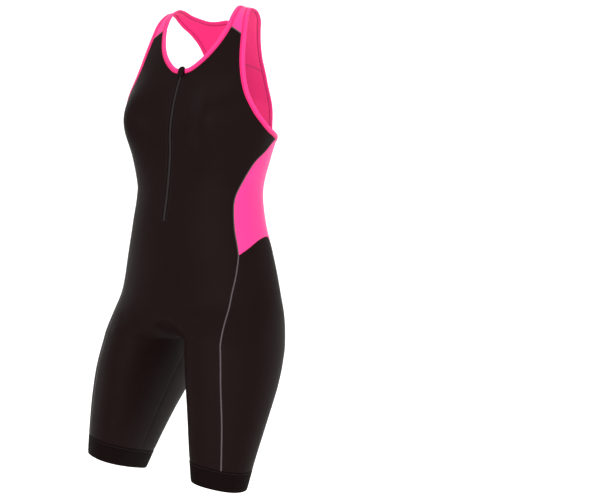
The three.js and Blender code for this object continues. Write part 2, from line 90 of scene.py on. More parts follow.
# Columns: z, half width, front y, back y, middle y in millimetres, and lean
SECTIONS = np.array([
    (0, 128, 0, 0, 0, 0),
    (-4, 131, -18, 20, 0, 0),
    (-20, 137, -38, 40, -4, 0),
    (-48, 142, -56, 63, -8, 0),
    (-84, 147, -76, 82, -10, 0),
    (-124, 152, -93, 100, -14, 0),
    (-168, 154, -113, 107, -22, 0),
    (-216, 143, -126, 87, -31, 0),
    (-267, 129, -129, 68, -35, 0),
    (-322, 117, -138, 53, -36, 0),
    (-377, 123, -150, 49, -36, 0),
    (-432, 135, -155, 59, -34, 0),
    (-487, 146, -158, 71, -35, 0.02),
    (-542, 157, -167, 79, -44, 0.06),
    (-597, 166, -179, 65, -59, 0.14),
    (-652, 172, -190, 27, -80, 0.20),
    (-707, 173, -194, -21, -106, 0.24),
    (-762, 169, -199, -59, -128, 0.26),
    (-812, 164, -204, -85, -144, 0.26),
    (-862, 158, -209, -111, -161, 0.26),
]) * np.array([MM, MM, MM, MM, MM, 1])


def eased(share):
    """0 below 0, 1 above 1 and the smooth step 3s2 - 2s3 between them."""
    s = np.clip(share, 0, 1)
    return s * s * (3 - 2 * s)


def section_at(row):
    """Catmull-Rom line through the section table, all columns. Over the crest front and back change places."""
    last = len(SECTIONS) - 1
    mirrored = SECTIONS[1][[0, 1, 3, 2, 4, 5]]
    beyond = 2 * SECTIONS[last] - SECTIONS[last - 1]
    table = np.vstack([mirrored, SECTIONS, beyond])
    i = np.clip(np.floor(row).astype(int), 0, last - 1)
    t = (row - i)[..., None]
    a, b, c, d = table[i], table[i + 1], table[i + 2], table[i + 3]
    return 0.5 * (2 * b + (c - a) * t + (2 * a - 5 * b + 4 * c - d) * t**2 + (3 * b - a - 3 * c + d) * t**3)


def section_height(x, half, groove):
    """An ellipse's squared height over its middle plane, with the bell-shaped hollow between the thighs."""
    return (1 - (x / half) ** 2) * np.maximum(1 - groove * np.exp(-((x / GROOVE_WIDTH) ** 2)), 0)


def body_points(around, row, side):
    """Outer face of the suit. around runs 0 at the centre front, 0.5 at the side, 1 at the centre back, and
    row counts the sections. x sweeps as a sine to the section's half width from the centre or, on a leg, from
    the inner thigh, whose pull on x fades outwards and faster near the crotch. y stands off the middle plane by
    a rounded ellipse, and z leans and slopes with y and x."""
    around = np.asarray(around, float)
    row = np.asarray(row, float)
    over = row < 0
    around, row = np.where(over, 1 - around, around), np.abs(row)
    z, half, front, back, mid, lean = np.moveaxis(section_at(row), -1, 0)
    rise = z - CROTCH_Z
    drop = np.maximum(-rise, 0)
    inner = np.sqrt((THIGH_SPREAD * drop) ** 2 + THIGH_ROUND * drop)
    above = np.clip(1 - rise / FORK_RISE, 0, 1) ** 2
    groove = np.where(rise >= 0, above, np.exp(np.minimum((inner / GROOVE_WIDTH) ** 2, 50)))
    leg = eased(1 - rise / FORK_RISE)
    spread = eased(1 - rise / SPREAD_RISE)
    sweep = np.sin(np.pi * np.clip(around, 0, 1))
    share = sweep * (1 - spread + spread * sweep)
    x = half * share + inner * (1 - share) ** (1 + 2 * np.exp(-drop / THIGH_PULL))
    tries = inner[..., None] + (half - inner)[..., None] * np.linspace(0, 1, 25)
    crown = section_height(tries, half[..., None], groove[..., None]).max(-1)
    height = np.maximum(section_height(x, half, groove) / crown, 0) ** ROUNDNESS
    y = mid + (np.where(around < 0.5, front, back) - mid) * height
    lobes = np.exp(-(((x - BUST["out"]) / BUST["wide"]) ** 2)) + np.exp(-(((x + BUST["out"]) / BUST["wide"]) ** 2))
    swell = BUST["rise"] * np.exp(-(((z - BUST["z"]) / BUST["tall"]) ** 2)) * lobes * (1 - (x / half) ** 2)
    y = y - np.where(around < 0.5, swell, 0)
    y = y - LEG_TURN * leg * (x - (half + inner) / 2) * x / (x + 30 * MM)
    lean = lean * (1 - LEAN_SPREAD * side * np.clip(drop / THIGH_PULL, 0, 1))
    slope = SHOULDER_SLOPE * (x - STRAP_MIDDLE) * np.exp(np.minimum(z, 0) / SLOPE_FADE)
    low = eased(drop / LOW_DROP)
    z = z - lean * (y - mid) - slope - HEM_TILT * side * low * (x - LEG_MIDDLE)
    return np.stack([side * x - LEG_SWAY * low * (side > 0), y, z], -1)


def seam_line(knots, shares):
    """Centripetal Catmull-Rom line through (around, row) knots, at these shares of its length."""
    p = np.array(knots, float) * [8, 1]
    p = np.vstack([2 * p[0] - p[1], p, 2 * p[-1] - p[-2]])
    step = np.maximum(np.linalg.norm(np.diff(p, axis=0), axis=1) ** 0.5, 1e-6)
    t = np.concatenate([[0], np.cumsum(step)])
    u = np.concatenate([np.linspace(t[i], t[i + 1], 30, endpoint=False) for i in range(1, len(p) - 2)] + [[t[-2]]])
    i = np.clip(np.searchsorted(t, u, side="right") - 1, 1, len(p) - 3)

    def blend(a, b, start, end):
        return (a * (end - u)[:, None] + b * (u - start)[:, None]) / (end - start)[:, None]

    a1 = blend(p[i - 1], p[i], t[i - 1], t[i])
    a2 = blend(p[i], p[i + 1], t[i], t[i + 1])
    a3 = blend(p[i + 1], p[i + 2], t[i + 1], t[i + 2])
    b1 = blend(a1, a2, t[i - 1], t[i + 1])
    b2 = blend(a2, a3, t[i], t[i + 2])
    line = blend(b1, b2, t[i], t[i + 1])
    length = np.concatenate([[0], np.cumsum(np.linalg.norm(np.diff(line, axis=0), axis=1))])
    if np.isscalar(shares):
        shares = np.linspace(0, 1, shares + 1)
    at = shares * length[-1]
    return np.stack([np.interp(at, length, line[:, 0]) / 8, np.interp(at, length, line[:, 1])], -1)


def straight(around, start, end, steps, power=1):
    """Rows from start to end at one place around; a power over 1 crowds them at the start, under -1 at the end."""
    t = np.linspace(0, 1, steps + 1)
    t = t**power if power > 0 else 1 - (1 - t) ** -power
    return np.stack([np.full(steps + 1, float(around)), start + (end - start) * t], -1)


def joined(*lines):
    """Lines one after the other, with the point that two of them share kept once."""
    return np.concatenate([lines[0]] + [line[1:] for line in lines[1:]])


FINE = 5
FRONT_COLUMNS = 40
HEM_ROW = 17.35
LAST_ROW = 18
ZIP_SLIT = 3.2 * MM
ZIP_END_ROW = 9.9
NECK_FRONT = [(0.0162, 4.96), (0.035, 4.90), (0.060, 4.72), (0.0925, 4.38), (0.124, 3.92), (0.153, 3.30),
              (0.172, 2.70)]
ARMHOLE_FRONT = [(0.229, 3.05), (0.238, 4.05), (0.248, 4.67), (0.270, 5.30), (0.304, 5.90), (0.362, 6.47),
                 (0.435, 6.88), (0.490, 7.09), (0.540, 7.23), (0.585, 7.32)]
FRONT_SEAM_TOP = [(0.585, 7.32), (0.550, 7.45), (0.500, 7.78)]
FRONT_SEAM_WAIST = [(0.500, 7.78), (0.440, 8.10), (0.384, 8.75), (0.349, 9.25), (0.340, 9.80), (0.338, 10.30)]
FRONT_SEAM_HIP = [(0.338, 10.30), (0.342, 10.95)]
FRONT_SEAM_LEG = [(0.342, 10.95), (0.330, 11.60), (0.321, 12.20), (0.323, 13.00), (0.325, 13.60),
                  (0.327, 14.30), (0.330, 15.10), (0.337, 16.05), (0.352, HEM_ROW)]
CROTCH_ROW = float(np.interp(-CROTCH_Z, -section_at(np.linspace(0, 19, 4000))[:, 0], np.linspace(0, 19, 4000)))


def slit_edge(line):
    """The same rows, moved out from the centre to the edge of the slit that the zip fills."""
    half = section_at(line[:, 1])[:, 1]
    return np.stack([np.arcsin(ZIP_SLIT / half) / np.pi, line[:, 1]], -1)


def spaced(columns):
    """Column places from 0 to 1, half of them even and half crowded at both seams by a cosine."""
    t = np.linspace(0, 1, columns + 1)
    return 0.5 * t + 0.5 * (0.5 - 0.5 * np.cos(np.pi * t))


def patch(left, right, columns, top=None, bottom=None):
    """Points between four seam lines: straight across from left to right, bent near the top and the bottom
    by what those lines depart from straight."""
    s = spaced(columns)[:, None]
    t = np.linspace(0, 1, len(left))[:, None, None]
    knots = left[:, None] * (1 - s) + right[:, None] * s
    for edge, weight in ((top, (1 - t) ** 4), (bottom, t**4)):
        if edge is not None:
            knots = knots + weight * (edge - edge[0] * (1 - s) - edge[-1] * s)
    return knots


# Creases that the cloth shows, as (start, end, depth, width) in millimetres. A negative depth is a ridge.
CREASES = [
    ((16, -150, -592), (95, -168, -530), 1.8, 9),
    ((30, -165, -606), (112, -172, -550), -1.4, 8),
    ((-16, -150, -592), (-95, -168, -530), 1.8, 9),
    ((-30, -165, -606), (-112, -172, -550), -1.4, 8),
    ((22, 50, -628), (150, -12, -622), 2.6, 11),
    ((-22, 50, -628), (-150, -12, -622), 2.6, 11),
    ((-92, 30, -332), (-18, 54, -318), 1.3, 9),
    ((92, 30, -332), (18, 54, -318), 1.3, 9),
    ((-60, 50, -358), (60, 50, -350), 1.0, 10),
    ((118, -40, -292), (92, -105, -322), 1.1, 9),
    ((-118, -40, -292), (-92, -105, -322), 1.1, 9),
]


def crease_depth(points):
    """How far the creases push the cloth in: each a bell across its straight run that fades at both ends."""
    depth = np.zeros(points.shape[:-1])
    for start, end, deep, width in CREASES:
        a, b = np.array(start) * MM, np.array(end) * MM
        along = np.clip((points - a) @ (b - a) / np.dot(b - a, b - a), 0, 1)
        off = np.linalg.norm(points - a - along[..., None] * (b - a), axis=-1)
        fade = np.sin(np.pi * (0.06 + 0.88 * along)) ** 0.7
        depth += deep * MM * fade * np.exp(-((off / (width * MM)) ** 2))
    return depth


def outward_at(around, row, side):
    """Outward direction from the slopes of the face along around and along row."""
    e = 0.004
    across = body_points(around + e, row, side) - body_points(around - e, row, side)
    down = body_points(around, row + e, side) - body_points(around, row - e, side)
    out = side * np.cross(down, across)
    return out / np.linalg.norm(out, axis=-1, keepdims=True)


def vertex_normals(points, faces):
    """Sum of the cross products of the faces' diagonals at each point, made unit length."""
    a, b, c, d = (points[faces[:, k]] for k in range(4))
    out = np.zeros_like(points)
    for k in range(4):
        np.add.at(out, faces[:, k], np.cross(c - a, d - b))
    return out / np.maximum(np.linalg.norm(out, axis=-1, keepdims=True), 1e-12)


def new_object(name, points, faces, uv=None, sharp=50):
    """Mesh object at the origin from points and four-cornered faces, smooth but for edges over an angle."""
    mesh = bpy.data.meshes.new(name)
    mesh.from_pydata(points.tolist(), [], faces.tolist())
    if uv is not None:
        mesh.uv_layers.new(name="cloth").data.foreach_set("uv", uv.reshape(-1).astype(np.float32))
    mesh.polygons.foreach_set("use_smooth", np.ones(len(faces), bool))
    mesh.update()
    mesh.set_sharp_from_angle(angle=math.radians(sharp))
    piece = bpy.data.objects.new(name, mesh)
    bpy.context.scene.collection.objects.link(piece)
    return piece


SEAM_SINK = 0.45 * MM
SEAM_SOFT = 2.2 * MM


def cloth_panel(name, halves, wall=PANEL_WALL, out=0.0):
    """Thin shell on the worn form. halves are (side, knots) grids, sewn to one sheet where their points agree.
    The outer face sinks a little along its seams and into the creases, and the wall stands inwards."""
    points, faces, uv = [], [], []
    start = 0
    for side, knots in halves:
        grid = body_points(knots[..., 0], knots[..., 1], side)
        rows, columns = grid.shape[:2]
        index = start + np.arange(rows * columns).reshape(rows, columns)
        quads = np.stack([index[:-1, :-1], index[1:, :-1], index[1:, 1:], index[:-1, 1:]], -1).reshape(-1, 4)
        faces.append(quads if side > 0 else quads[:, ::-1])
        across = np.concatenate([np.zeros((rows, 1)), np.cumsum(
            np.linalg.norm(np.diff(grid, axis=1), axis=-1), axis=1)], axis=1)
        down = np.repeat(grid[:, columns // 2, 2][:, None], columns, axis=1)
        uv.append(np.stack([side * across, down], -1).reshape(-1, 2))
        points.append(grid.reshape(-1, 3))
        start += rows * columns
    points, faces, uv = np.concatenate(points), np.concatenate(faces), np.concatenate(uv)
    face_uv = uv[faces]
    _, first, where = np.unique(np.round(points / (2e-3 * MM)).astype(int), axis=0,
                                return_index=True, return_inverse=True)
    points, faces = points[first], where.reshape(-1)[faces]
    normals = vertex_normals(points, faces)
    edges = np.stack([faces, np.roll(faces, -1, axis=1)], -1).reshape(-1, 2)
    _, which, count = np.unique(np.sort(edges, axis=1), axis=0, return_inverse=True, return_counts=True)
    rim = edges[count[which.reshape(-1)] == 1]
    rim_points = points[rim[:, 0]]
    near = np.concatenate([np.linalg.norm(block[:, None] - rim_points, axis=-1).min(1)
                           for block in np.array_split(points, 40)])
    sink = SEAM_SINK * np.exp(-((near / SEAM_SOFT) ** 2)) + crease_depth(points) - out
    outer = points - normals * sink[:, None]
    inner = outer - normals * wall
    n = len(points)
    walls = np.stack([rim[:, 1], rim[:, 0], rim[:, 0] + n, rim[:, 1] + n], -1)
    all_faces = np.concatenate([faces, faces[:, ::-1] + n, walls])
    all_uv = np.concatenate([face_uv, face_uv[:, ::-1], np.zeros((len(walls), 4, 2))])
    return new_object(name, np.concatenate([outer, inner]), all_faces, all_uv)


def srgb(code):
    """Linear colour of an sRGB hex value."""
    parts = [int(code[k:k + 2], 16) / 255 for k in (1, 3, 5)]
    return [p / 12.92 if p <= 0.04045 else ((p + 0.055) / 1.055) ** 2.4 for p in parts] + [1]


def add_node(tree, kind, links=None, **settings):
    """One node with its settings and the sockets that feed its inputs. Input values are given by name."""
    node = tree.nodes.new(kind)
    for key, value in settings.items():
        if key in node.inputs:
            node.inputs[key].default_value = value
        elif hasattr(node, key):
            setattr(node, key, value)
        else:
            node.inputs[key.replace("_", " ")].default_value = value
    for key, socket in (links or {}).items():
        tree.links.new(socket, node.inputs[key])
    return node


def finish_material(name):
    """Empty material, its node tree and its shader."""
    material = bpy.data.materials.new(name)
    material.use_nodes = True
    return material, material.node_tree, material.node_tree.nodes["Principled BSDF"]


def knit_material(name, colour, shade, rib, roughness, gloss, sheen, sheen_tint, strength):
    """Stretch knit: vertical wales a rib apart, crossed by courses, as bump, under a slight colour change in
    hand-sized clouds and stitch-sized flecks."""
    material, tree, shader = finish_material(name)
    uv = add_node(tree, "ShaderNodeUVMap", uv_map="cloth")
    wales = add_node(tree, "ShaderNodeTexWave", {"Vector": uv.outputs["UV"]}, wave_type="BANDS",
                     bands_direction="X", Scale=0.05 / rib * 2 * math.pi, Distortion=0.4, Detail=1)
    courses = add_node(tree, "ShaderNodeTexWave", {"Vector": uv.outputs["UV"]}, wave_type="BANDS",
                       bands_direction="Y", Scale=0.05 / (rib * 1.3) * 2 * math.pi, Distortion=0.6, Detail=1)
    both = add_node(tree, "ShaderNodeMath", {0: wales.outputs["Fac"], 1: courses.outputs["Fac"]},
                    operation="MULTIPLY")
    bump = add_node(tree, "ShaderNodeBump", {"Height": both.outputs["Value"]}, Strength=strength, Distance=0.00025)
    place = add_node(tree, "ShaderNodeTexCoord")
    cloud = add_node(tree, "ShaderNodeTexNoise", {"Vector": place.outputs["Object"]}, Scale=1 / (110 * MM),
                     Detail=3)
    fleck = add_node(tree, "ShaderNodeTexNoise", {"Vector": place.outputs["Object"]}, Scale=1 / rib, Detail=1)
    mixed = add_node(tree, "ShaderNodeMath", {0: cloud.outputs["Fac"], 1: fleck.outputs["Fac"]},
                     operation="MULTIPLY_ADD")
    mixed.inputs[2].default_value = 0.15
    tint = add_node(tree, "ShaderNodeMix", {"Factor": mixed.outputs["Value"]}, data_type="RGBA")
    tint.inputs[6].default_value = srgb(colour)
    tint.inputs[7].default_value = srgb(shade)
    tree.links.new(tint.outputs[2], shader.inputs["Base Color"])
    tree.links.new(bump.outputs["Normal"], shader.inputs["Normal"])
    shader.inputs["Roughness"].default_value = roughness
    shader.inputs["Specular IOR Level"].default_value = gloss
    shader.inputs["Sheen Weight"].default_value = sheen
    shader.inputs["Sheen Roughness"].default_value = 0.4
    shader.inputs["Sheen Tint"].default_value = srgb(sheen_tint)
    return material


def dress(piece, material, slot, *nodes):
    """Gives a piece its finish, fixes it to the suit and lets it stand for its solids."""
    piece.data.materials.append(material)
    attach(piece, "root")
    if nodes:
        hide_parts(*nodes)
    return piece


# Warp-knit nylon with elastane, dyed black and heat-set: it looks matt, with a faint brown sheen at grazing
# angles. Its wales are 0.4 mm apart on the real cloth and are drawn 1.1 mm apart, so that they show.
black_knit = knit_material("nylon_elastane_warp_knit_black", "#140807", "#0e0504", 1.1 * MM, 0.55, 0.045, 0.01,
                           "#5c4a46", 0.35)
neck_front = seam_line(NECK_FRONT, 7 * FINE)
armhole_front = seam_line(ARMHOLE_FRONT, 14 * FINE)
front_seam = joined(seam_line(FRONT_SEAM_TOP, 2 * FINE), seam_line(FRONT_SEAM_WAIST, 7 * FINE),
                    seam_line(FRONT_SEAM_HIP, 2 * FINE))
front_seam_leg = seam_line(FRONT_SEAM_LEG, 16 * FINE)
zip_edge = slit_edge(straight(0, NECK_FRONT[0][1], ZIP_END_ROW - 0.04, 13 * FINE))
to_slit = np.linspace(neck_front[0], zip_edge[0], FINE + 1)
front_left = joined(neck_front[::-1], to_slit)
centre_front = joined(
    zip_edge, np.array([(0, 0), (0, ZIP_END_ROW)]), straight(0, ZIP_END_ROW, 10.95, 4 * FINE - 1),
    straight(0, 10.95, CROTCH_ROW, 9 * FINE, -1.6), straight(0, CROTCH_ROW, HEM_ROW, 7 * FINE, 1.6))
front_knots = patch(joined(front_left, centre_front), joined(armhole_front, front_seam, front_seam_leg),
                    FRONT_COLUMNS)
front = dress(cloth_panel("front_panel", [(1, front_knots), (-1, front_knots)]), black_knit, "black_knit", "front")

# Side panels: a pink upper piece from the armhole to the hip on each side, and a black lower piece down
# the outer thigh to the hem band, both of the same stretch knit.
SIDE_COLUMNS = 36
ARMHOLE_SIDE = [(0.585, 7.32), (0.630, 7.40), (0.680, 7.45), (0.730, 7.45), (0.765, 7.40)]
BACK_SEAM_TOP = [(0.765, 7.40), (0.785, 8.28)]
BACK_SEAM_WAIST = [(0.785, 8.28), (0.786, 9.50), (0.790, 10.70)]
BACK_SEAM_HIP = [(0.790, 10.70), (0.748, 11.53)]
BACK_SEAM_LEG = [(0.748, 11.53), (0.664, 12.55), (0.617, 13.40), (0.592, 14.20), (0.583, 15.40),
                 (0.580, 16.40), (0.574, HEM_ROW)]
PINK_HEM = [(0.342, 10.95), (0.404, 10.73), (0.475, 10.52), (0.540, 10.46), (0.600, 10.56), (0.675, 10.97),
            (0.748, 11.53)]

# The same knit dyed bright pink: the bright filaments give it a satin glow where it turns away.
pink_knit = knit_material("nylon_elastane_warp_knit_pink", "#fb2b7f", "#f0206f", 1.1 * MM, 0.52, 0.3, 0.4, "#ff9ac4",
                          0.35)
back_seam_top = seam_line(BACK_SEAM_TOP, 2 * FINE)
back_seam_waist = seam_line(BACK_SEAM_WAIST, 7 * FINE)
back_seam_hip = seam_line(BACK_SEAM_HIP, 2 * FINE)
back_seam_leg = seam_line(BACK_SEAM_LEG, 16 * FINE)
side_places = spaced(SIDE_COLUMNS)
pink_hem = seam_line(PINK_HEM, side_places)
side_upper_knots = patch(front_seam, joined(back_seam_top, back_seam_waist, back_seam_hip), SIDE_COLUMNS,
                         seam_line(ARMHOLE_SIDE, side_places), pink_hem)
side_lower_knots = patch(front_seam_leg, back_seam_leg, SIDE_COLUMNS, pink_hem)
for side, hand in ((1, "left"), (-1, "right")):
    upper = dress(cloth_panel(f"side_panel_upper_{hand}", [(side, side_upper_knots)]), pink_knit, "pink_knit",
                  f"side_upper_{hand}")
    lower = dress(cloth_panel(f"side_panel_lower_{hand}", [(side, side_lower_knots)]), black_knit, "black_knit",
                  f"side_lower_{hand}")

# Racer back: pink yoke with both strap backs, a middle panel between the armholes and a lower panel with
# an arched top seam, then the black seat cut in one with both leg backs.
BACK_COLUMNS = 40
NECK_STRAP = [(0.828, -2.70), (0.816, -1.50), (0.811, 0), (0.819, 0.90), (0.840, 1.56), (0.878, 2.03),
              (0.919, 2.35), (0.962, 2.48), (1, 2.51)]
ARMHOLE_STRAP = [(0.771, -3.05), (0.776, -2.10), (0.781, -1.00), (0.783, 0), (0.785, 1.00), (0.804, 1.90),
                 (0.833, 2.50), (0.861, 3.20), (0.879, 4.00), (0.883, 4.62)]
ARMHOLE_BACK = [(0.883, 4.62), (0.881, 5.35), (0.864, 6.05), (0.828, 6.70), (0.796, 7.12), (0.765, 7.40)]
YOKE_SEAM = [(0.883, 4.62), (0.920, 4.42), (0.960, 4.32), (1, 4.30)]
ARCH_SEAM = [(0.785, 8.28), (0.840, 7.90), (0.900, 7.50), (0.940, 7.33), (1, 7.28)]
WAIST_SEAM = [(0.790, 10.70), (0.850, 10.58), (0.930, 10.47), (1, 10.45)]

back_places = spaced(BACK_COLUMNS)
neck_strap = seam_line(NECK_STRAP, 11 * FINE)
armhole_strap = seam_line(ARMHOLE_STRAP, 13 * FINE)
armhole_back = seam_line(ARMHOLE_BACK, 9 * FINE)
yoke_seam = seam_line(YOKE_SEAM, back_places)
arch_seam = seam_line(ARCH_SEAM, back_places)
waist_seam = seam_line(WAIST_SEAM, back_places)
BACK_PIECES = {
    "back_yoke": (patch(armhole_strap, joined(neck_strap, straight(1, 2.51, 4.3, 2 * FINE)), BACK_COLUMNS,
                        None, yoke_seam), pink_knit, "pink_knit", (0.24, 0.20), 0.0147),
    "back_middle": (patch(joined(armhole_back, back_seam_top),
                          joined(straight(1, 4.3, 6.98, 9 * FINE), straight(1, 6.98, 7.28, 2 * FINE)),
                          BACK_COLUMNS, yoke_seam, arch_seam), pink_knit, "pink_knit", (0.19, 0.19), 0.0222),
    "back_lower": (patch(back_seam_waist, straight(1, 7.28, 10.45, 7 * FINE), BACK_COLUMNS, arch_seam,
                         waist_seam), pink_knit, "pink_knit", (0.175, 0.19), 0.0265),
    "seat": (patch(joined(back_seam_hip, back_seam_leg),
                   joined(straight(1, 10.45, CROTCH_ROW, 11 * FINE, -1.6),
                          straight(1, CROTCH_ROW, HEM_ROW, 7 * FINE, 1.6)),
                   BACK_COLUMNS, waist_seam), black_knit, "black_knit", (0.42, 0.48), 0.149),
}
for node, (knots, material, slot, flat, area) in BACK_PIECES.items():
    panel = dress(cloth_panel(f"{node}_panel", [(1, knots), (-1, knots)]), material, slot, node)

# Hem bands: a wide black elastic sewn on as a ring round each leg end. It holds the leg down on the thigh and
# is a little thicker and duller than the knit.
HEM_WALL = 1.6 * MM
HEM_ROWS = 12
# Woven elastic is duller than the knit and shows closer ribs.
hem_elastic = knit_material("woven_elastic_black", "#0e0605", "#0a0404", 0.8 * MM, 0.7, 0.03, 0.01, "#5a4d49", 0.5)
leg_round = joined(front_knots[-1], side_lower_knots[-1], BACK_PIECES["seat"][0][-1])
hem_rows = np.linspace(0, 1, HEM_ROWS + 1)[:, None]
hem_knots = np.stack([np.repeat(leg_round[None, :, 0], HEM_ROWS + 1, axis=0),
                      HEM_ROW + (LAST_ROW - HEM_ROW) * np.repeat(hem_rows, len(leg_round), axis=1)], -1)
for side, hand in ((1, "left"), (-1, "right")):
    band = dress(cloth_panel(f"hem_band_{hand}_cloth", [(side, hem_knots)], HEM_WALL, 0.2 * MM), hem_elastic,
                 "hem_elastic", f"hem_band_{hand}")

# Flatlock seams: where two panels meet edge to edge, grey textured polyester thread lies over the joint in
# slanting loops on a narrow bed. They are drawn 1.7 mm apart, coarser than real ones, so that they show.
THREAD = 0.24 * MM
TWIST = 0.45 * MM
LOOP_PITCH = 1.7 * MM
FLATLOCK_WIDTH = 2.3 * MM


def carried(points, out, profile, closed=False):
    """A strip: at each point of a path the closed profile's (across, up) places, with across square to the path
    and to its outward direction. Returns points and four-cornered faces, with flat ends."""
    if closed:
        ahead = np.roll(points, -1, axis=0) - np.roll(points, 1, axis=0)
    else:
        ahead = np.gradient(points, axis=0)
    across = np.cross(ahead, out)
    across /= np.linalg.norm(across, axis=1, keepdims=True)
    profile = np.array(profile)
    if profile.ndim == 2:
        profile = np.repeat(profile[None], len(points), axis=0)
    spots = points[:, None] + profile[..., :1] * across[:, None] + profile[..., 1:] * out[:, None]
    n, m = spots.shape[:2]
    index = np.arange(n * m).reshape(n, m)
    turned = np.roll(index, -1, axis=1)
    if closed:
        later, later_turned = np.roll(index, -1, axis=0), np.roll(turned, -1, axis=0)
    else:
        index, turned, later, later_turned = index[:-1], turned[:-1], index[1:], turned[1:]
    faces = np.stack([index, turned, later_turned, later], -1).reshape(-1, 4)
    if not closed:
        half = m // 2
        k = np.arange(half - 1)
        cap = np.stack([k, (m - 1 - k), (m - 2 - k), k + 1], -1)
        faces = np.concatenate([faces, cap, (n - 1) * m + cap[:, ::-1]])
    return spots.reshape(-1, 3), faces


def outward_mesh(points, faces):
    """Turns all faces round where the closed mesh's signed volume, the sum of its corners' triple products, is
    negative."""
    a, b, c, d = (points[faces[:, k]] for k in range(4))
    volume = np.einsum("ij,ij->i", a, np.cross(b, c) + np.cross(c, d)).sum()
    return points, faces if volume > 0 else faces[:, ::-1]


def evened(points, out, spacing):
    """The same path with points a spacing apart along its length, as near as whole steps allow."""
    length = np.concatenate([[0], np.cumsum(np.linalg.norm(np.diff(points, axis=0), axis=1))])
    at = np.linspace(0, length[-1], max(int(round(length[-1] / spacing)), 2) + 1)
    spots = np.stack([np.interp(at, length, points[:, k]) for k in range(3)], -1)
    up = np.stack([np.interp(at, length, out[:, k]) for k in range(3)], -1)
    return spots, up / np.linalg.norm(up, axis=1, keepdims=True)


def thread_loops(points, out, width, slant, thick=THREAD, rise=0.5 * MM, offset=0.0):
    """One loop of thread at each point of a path: its middle line runs across the path, steps along it by slant
    and arches up as half a sine, and its section is a square with a corner up."""
    ahead = np.gradient(points, axis=0)
    ahead /= np.linalg.norm(ahead, axis=1, keepdims=True)
    across = np.cross(ahead, out)
    share = np.linspace(0, 1, 5)
    middle = (points[:, None] + (offset + width * (share - 0.5))[None, :, None] * across[:, None]
              + (slant * (share - 0.5))[None, :, None] * ahead[:, None]
              + (rise * np.sin(np.pi * share) - 0.1 * MM)[None, :, None] * out[:, None])
    run = width * across + slant * ahead
    run /= np.linalg.norm(run, axis=1, keepdims=True)
    beside = np.cross(out, run)
    ring = np.array([(1, 0), (0, 1), (-1, 0), (0, -1)]) * thick
    spots = (middle[:, :, None] + ring[None, None, :, :1] * beside[:, None, None]
             + ring[None, None, :, 1:] * out[:, None, None])
    n = len(points)
    one = np.arange(20).reshape(5, 4)
    turned = np.roll(one, -1, axis=1)
    quads = np.stack([one[:-1], turned[:-1], turned[1:], one[1:]], -1).reshape(-1, 4)
    quads = np.concatenate([quads, [[3, 2, 1, 0], [16, 17, 18, 19]]])
    faces = (np.arange(n)[:, None, None] * 20 + quads).reshape(-1, 4)
    return spots.reshape(-1, 3), faces


def as_one(*meshes):
    """Several (points, faces) meshes as one, each turned outwards first."""
    points, faces, start = [], [], 0
    for mesh in meshes:
        spots, quads = outward_mesh(*mesh)
        points.append(spots)
        faces.append(quads + start)
        start += len(spots)
    return np.concatenate(points), np.concatenate(faces)


def thread_material(name, colour, shade):
    """Twisted polyester thread: fine slanting twist lines as bump and a slightly uneven colour."""
    material, tree, shader = finish_material(name)
    place = add_node(tree, "ShaderNodeTexCoord")
    twist = add_node(tree, "ShaderNodeTexWave", {"Vector": place.outputs["Object"]}, wave_type="BANDS",
                     bands_direction="DIAGONAL", Scale=0.05 / TWIST * 2 * math.pi, Distortion=1.5)
    fleck = add_node(tree, "ShaderNodeTexNoise", {"Vector": place.outputs["Object"]}, Scale=1 / (2.4 * MM),
                     Detail=2)
    tint = add_node(tree, "ShaderNodeMix", {"Factor": fleck.outputs["Fac"]}, data_type="RGBA")
    tint.inputs[6].default_value = srgb(colour)
    tint.inputs[7].default_value = srgb(shade)
    bump = add_node(tree, "ShaderNodeBump", {"Height": twist.outputs["Fac"]}, Strength=0.4, Distance=0.0001)
    tree.links.new(tint.outputs[2], shader.inputs["Base Color"])
    tree.links.new(bump.outputs["Normal"], shader.inputs["Normal"])
    shader.inputs["Roughness"].default_value = 0.65
    shader.inputs["Specular IOR Level"].default_value = 0.2
    shader.inputs["Sheen Weight"].default_value = 0.08
    return material


def on_body(knots, side):
    """Points of a seam line on the worn form and the outward directions there."""
    return body_points(knots[:, 0], knots[:, 1], side), outward_at(knots[:, 0], knots[:, 1], side)


def flatlock(points, out):
    """Bed strip of the seam and the loops over it, and the straighter loops that lie on the inner face."""
    points, out = evened(points, out, LOOP_PITCH)
    points = points - out * SEAM_SINK * 0.7
    inside = points - out * PANEL_WALL
    half = FLATLOCK_WIDTH / 2
    bed = [(-half, -0.5 * MM), (-half, 0), (-half * 0.6, 0.18 * MM), (half * 0.6, 0.18 * MM), (half, 0),
           (half, -0.5 * MM)]
    return [carried(points, out, bed), thread_loops(points, out, FLATLOCK_WIDTH, LOOP_PITCH),
            thread_loops(inside, -out, FLATLOCK_WIDTH * 0.8, LOOP_PITCH * 0.5)]


